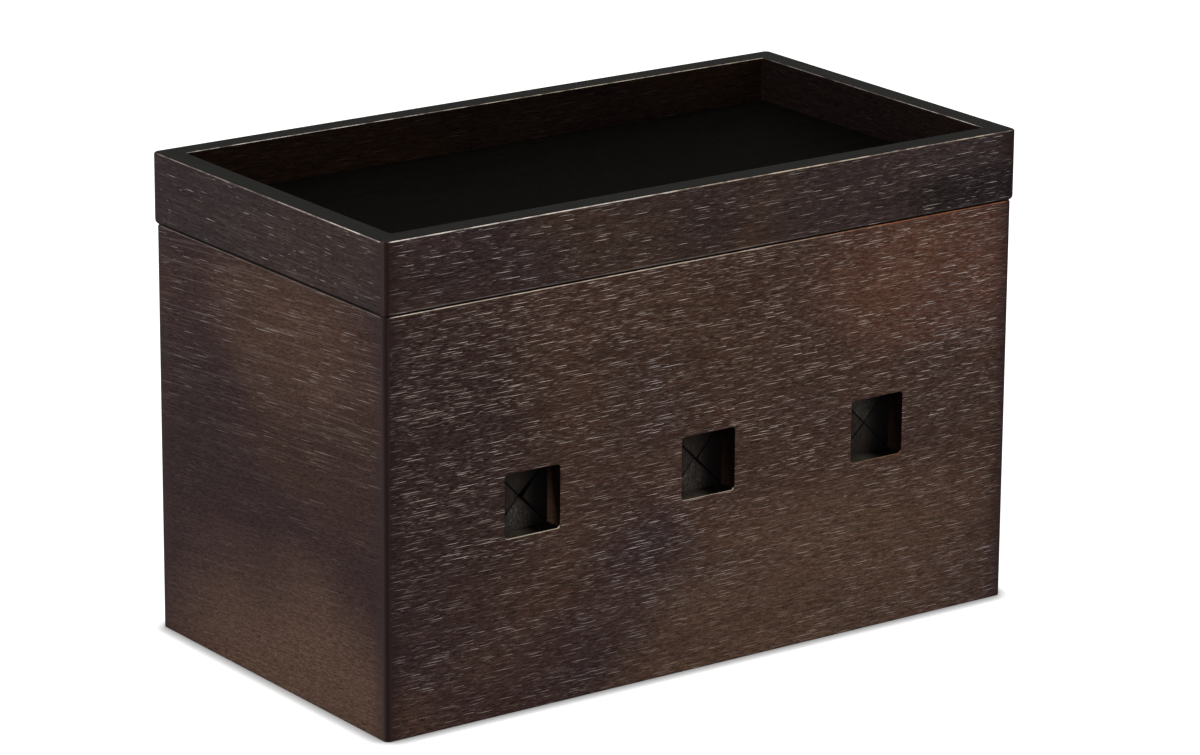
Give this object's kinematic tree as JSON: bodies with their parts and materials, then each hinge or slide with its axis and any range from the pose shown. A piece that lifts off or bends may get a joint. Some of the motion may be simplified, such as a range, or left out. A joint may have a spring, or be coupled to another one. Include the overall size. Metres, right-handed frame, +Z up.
{
  "type": "cable management box",
  "caption": "Wooden desk box that hides a power strip and its leads, with slit cable ports in the front, a lead outlet in one end and a lift-off tray as its lid.",
  "frame": {"origin": "on the table, under the middle of the box", "axes": "+X along the length to the end with the lead outlet, -Y out of the front with the cable ports, +Z up"},
  "size_m": [0.2484, 0.1344, 0.161],
  "materials": {
    "body_wood": "satin",
    "bottom_board": "satin",
    "rail_wood": "satin",
    "tray_board": "satin",
    "batten_wood": "matte",
    "membrane": "matte"
  },
  "bodies": {
    "box": {"front_panel": "body_wood", "back_panel": "body_wood", "left_panel": "body_wood", "right_panel": "body_wood", "bottom_panel": "bottom_board", "left_port_membrane_frame": "membrane", "middle_port_membrane_frame": "membrane", "right_port_membrane_frame": "membrane"},
    "tray": {"tray_front_rail": "rail_wood", "tray_right_rail": "rail_wood", "tray_back_rail": "rail_wood", "tray_left_rail": "rail_wood", "tray_floor": "tray_board", "tray_front_batten": "batten_wood", "tray_right_batten": "batten_wood", "tray_back_batten": "batten_wood", "tray_left_batten": "batten_wood"},
    "left_port_lower_flap": {"left_port_lower_flap": "membrane"},
    "left_port_left_flap": {"left_port_left_flap": "membrane"},
    "left_port_upper_flap": {"left_port_upper_flap": "membrane"},
    "left_port_right_flap": {"left_port_right_flap": "membrane"},
    "middle_port_lower_flap": {"middle_port_lower_flap": "membrane"},
    "middle_port_left_flap": {"middle_port_left_flap": "membrane"},
    "middle_port_upper_flap": {"middle_port_upper_flap": "membrane"},
    "middle_port_right_flap": {"middle_port_right_flap": "membrane"},
    "right_port_lower_flap": {"right_port_lower_flap": "membrane"},
    "right_port_left_flap": {"right_port_left_flap": "membrane"},
    "right_port_upper_flap": {"right_port_upper_flap": "membrane"},
    "right_port_right_flap": {"right_port_right_flap": "membrane"}
  },
  "joints": [
    {"name": "tray_lift", "type": "slide", "parent": "box", "child": "tray", "axis": [0, 0, 1], "range_m": [0, 0.08]},
    {"name": "left_port_lower_flap_bend", "type": "hinge", "parent": "box", "child": "left_port_lower_flap", "pos_m": [-0.0685, -0.059, 0.0586], "axis": [-1, 0, 0], "range_deg": [-60, 70], "stiffness_Nm_per_rad": 0.001},
    {"name": "left_port_left_flap_bend", "type": "hinge", "parent": "box", "child": "left_port_left_flap", "pos_m": [-0.0784, -0.059, 0.0685], "axis": [0, 0, 1], "range_deg": [-60, 70], "stiffness_Nm_per_rad": 0.001},
    {"name": "left_port_upper_flap_bend", "type": "hinge", "parent": "box", "child": "left_port_upper_flap", "pos_m": [-0.0685, -0.059, 0.0784], "axis": [1, 0, 0], "range_deg": [-60, 70], "stiffness_Nm_per_rad": 0.001},
    {"name": "left_port_right_flap_bend", "type": "hinge", "parent": "box", "child": "left_port_right_flap", "pos_m": [-0.0586, -0.059, 0.0685], "axis": [0, 0, -1], "range_deg": [-60, 70], "stiffness_Nm_per_rad": 0.001},
    {"name": "middle_port_lower_flap_bend", "type": "hinge", "parent": "box", "child": "middle_port_lower_flap", "pos_m": [0, -0.059, 0.0586], "axis": [-1, 0, 0], "range_deg": [-60, 70], "stiffness_Nm_per_rad": 0.001},
    {"name": "middle_port_left_flap_bend", "type": "hinge", "parent": "box", "child": "middle_port_left_flap", "pos_m": [-0.0099, -0.059, 0.0685], "axis": [0, 0, 1], "range_deg": [-60, 70], "stiffness_Nm_per_rad": 0.001},
    {"name": "middle_port_upper_flap_bend", "type": "hinge", "parent": "box", "child": "middle_port_upper_flap", "pos_m": [0, -0.059, 0.0784], "axis": [1, 0, 0], "range_deg": [-60, 70], "stiffness_Nm_per_rad": 0.001},
    {"name": "middle_port_right_flap_bend", "type": "hinge", "parent": "box", "child": "middle_port_right_flap", "pos_m": [0.0099, -0.059, 0.0685], "axis": [0, 0, -1], "range_deg": [-60, 70], "stiffness_Nm_per_rad": 0.001},
    {"name": "right_port_lower_flap_bend", "type": "hinge", "parent": "box", "child": "right_port_lower_flap", "pos_m": [0.0685, -0.059, 0.0586], "axis": [-1, 0, 0], "range_deg": [-60, 70], "stiffness_Nm_per_rad": 0.001},
    {"name": "right_port_left_flap_bend", "type": "hinge", "parent": "box", "child": "right_port_left_flap", "pos_m": [0.0586, -0.059, 0.0685], "axis": [0, 0, 1], "range_deg": [-60, 70], "stiffness_Nm_per_rad": 0.001},
    {"name": "right_port_upper_flap_bend", "type": "hinge", "parent": "box", "child": "right_port_upper_flap", "pos_m": [0.0685, -0.059, 0.0784], "axis": [1, 0, 0], "range_deg": [-60, 70], "stiffness_Nm_per_rad": 0.001},
    {"name": "right_port_right_flap_bend", "type": "hinge", "parent": "box", "child": "right_port_right_flap", "pos_m": [0.0784, -0.059, 0.0685], "axis": [0, 0, -1], "range_deg": [-60, 70], "stiffness_Nm_per_rad": 0.001}
  ]
}
